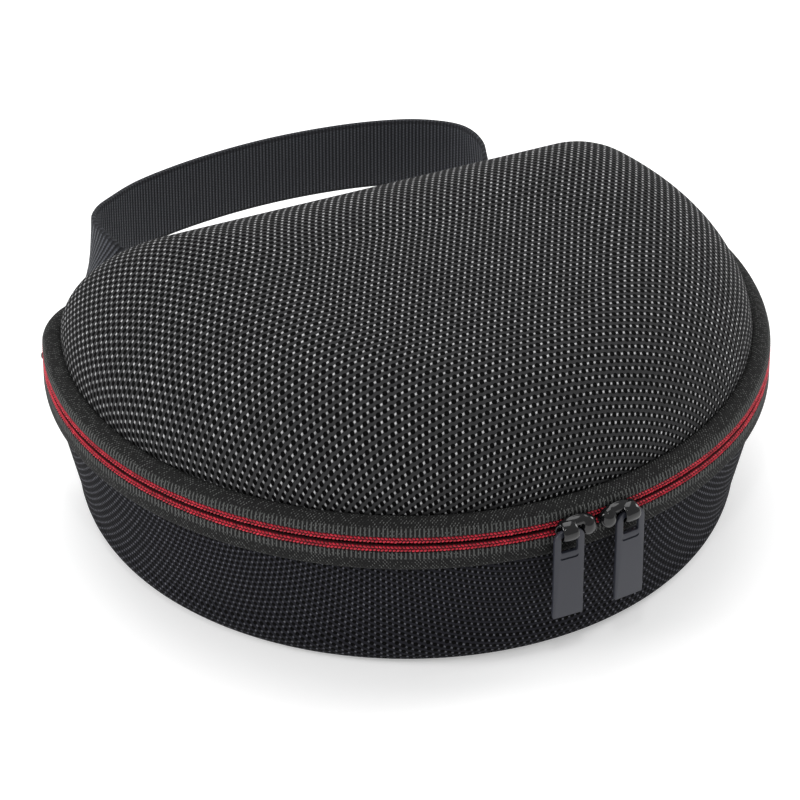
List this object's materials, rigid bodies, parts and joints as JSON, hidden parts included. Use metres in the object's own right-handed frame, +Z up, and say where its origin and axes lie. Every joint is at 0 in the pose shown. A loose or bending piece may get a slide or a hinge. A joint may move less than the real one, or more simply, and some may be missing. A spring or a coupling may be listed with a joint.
{
  "type": "headphone carrying case",
  "caption": "Semi-rigid D-shaped zip case with a domed woven lid, fabric spine hinge, rear strap handle, slider pulls and a mesh pocket.",
  "frame": {"origin": "on the ground under the centre of the round front's arc", "axes": "+X across the case, -Y to the front where the pulls meet, +Y to the spine and handle, +Z up"},
  "size_m": [0.23, 0.2288, 0.1024],
  "materials": {
    "cover_fabric": "woven",
    "moulded_foam": "matt",
    "lining_fabric": "knitted",
    "tape_fabric": "knitted",
    "red_trim": "stitched",
    "zip_coil": "satin",
    "binding_fabric": "woven",
    "black_metal": "gloss",
    "grey_pull": "satin",
    "strap_webbing": "woven",
    "pocket_mesh": "mesh",
    "elastic_band": "knitted"
  },
  "bodies": {
    "base": {"base_shell": "moulded_foam", "base_cover": "cover_fabric", "base_bottom_cover": "cover_fabric", "base_lining": "lining_fabric", "lower_zip_tape": "tape_fabric", "lower_zip_trim": "red_trim", "lower_zip_coil": "zip_coil", "lower_binding": "binding_fabric", "lower_hinge_strip": "tape_fabric", "zip_stops": "black_metal", "left_handle_anchor": "strap_webbing", "right_handle_anchor": "strap_webbing"},
    "lid": {"lid_shell": "moulded_foam", "lid_cover": "cover_fabric", "lid_lining": "lining_fabric", "upper_zip_tape": "tape_fabric", "upper_zip_trim": "red_trim", "upper_zip_coil": "zip_coil", "upper_binding": "binding_fabric", "upper_hinge_strip": "tape_fabric", "mesh_pocket": "pocket_mesh", "pocket_elastic": "elastic_band"},
    "left_slider": {"left_slider_body": "black_metal", "left_slider_crown": "black_metal"},
    "right_slider": {"right_slider_body": "black_metal", "right_slider_crown": "black_metal"},
    "left_pull": {"left_pull_tab": "grey_pull"},
    "right_pull": {"right_pull_tab": "grey_pull"},
    "handle": {"handle_strap": "strap_webbing"}
  },
  "joints": [
    {"name": "lid_hinge", "type": "hinge", "parent": "base", "child": "lid", "pos_m": [0, 0.058, 0.053], "axis": [-1, 0, 0], "range_deg": [0, 104]},
    {"name": "left_slider_travel", "type": "hinge", "parent": "base", "child": "left_slider", "pos_m": [0, 0, 0.053], "axis": [0, 0, 1], "range_deg": [-107.38, 0]},
    {"name": "right_slider_travel", "type": "hinge", "parent": "base", "child": "right_slider", "pos_m": [0, 0, 0.053], "axis": [0, 0, 1], "range_deg": [0, 99.38]},
    {"name": "left_pull_swing", "type": "hinge", "parent": "left_slider", "child": "left_pull", "pos_m": [-0.00237, -0.11837, 0.053], "axis": [-1, -0.0079, 0], "range_deg": [0, 150]},
    {"name": "right_pull_swing", "type": "hinge", "parent": "right_slider", "child": "right_pull", "pos_m": [0.01882, -0.11689, 0.053], "axis": [-0.9913, -0.1314, 0], "range_deg": [0, 150]},
    {"name": "handle_swing", "type": "hinge", "parent": "base", "child": "handle", "pos_m": [0, 0.05558, 0.037], "axis": [-1, 0, 0], "range_deg": [0, 48]}
  ],
  "couplings": [
    {"joint": "handle_swing", "follows": "lid_hinge", "ratio": 0.46}
  ]
}
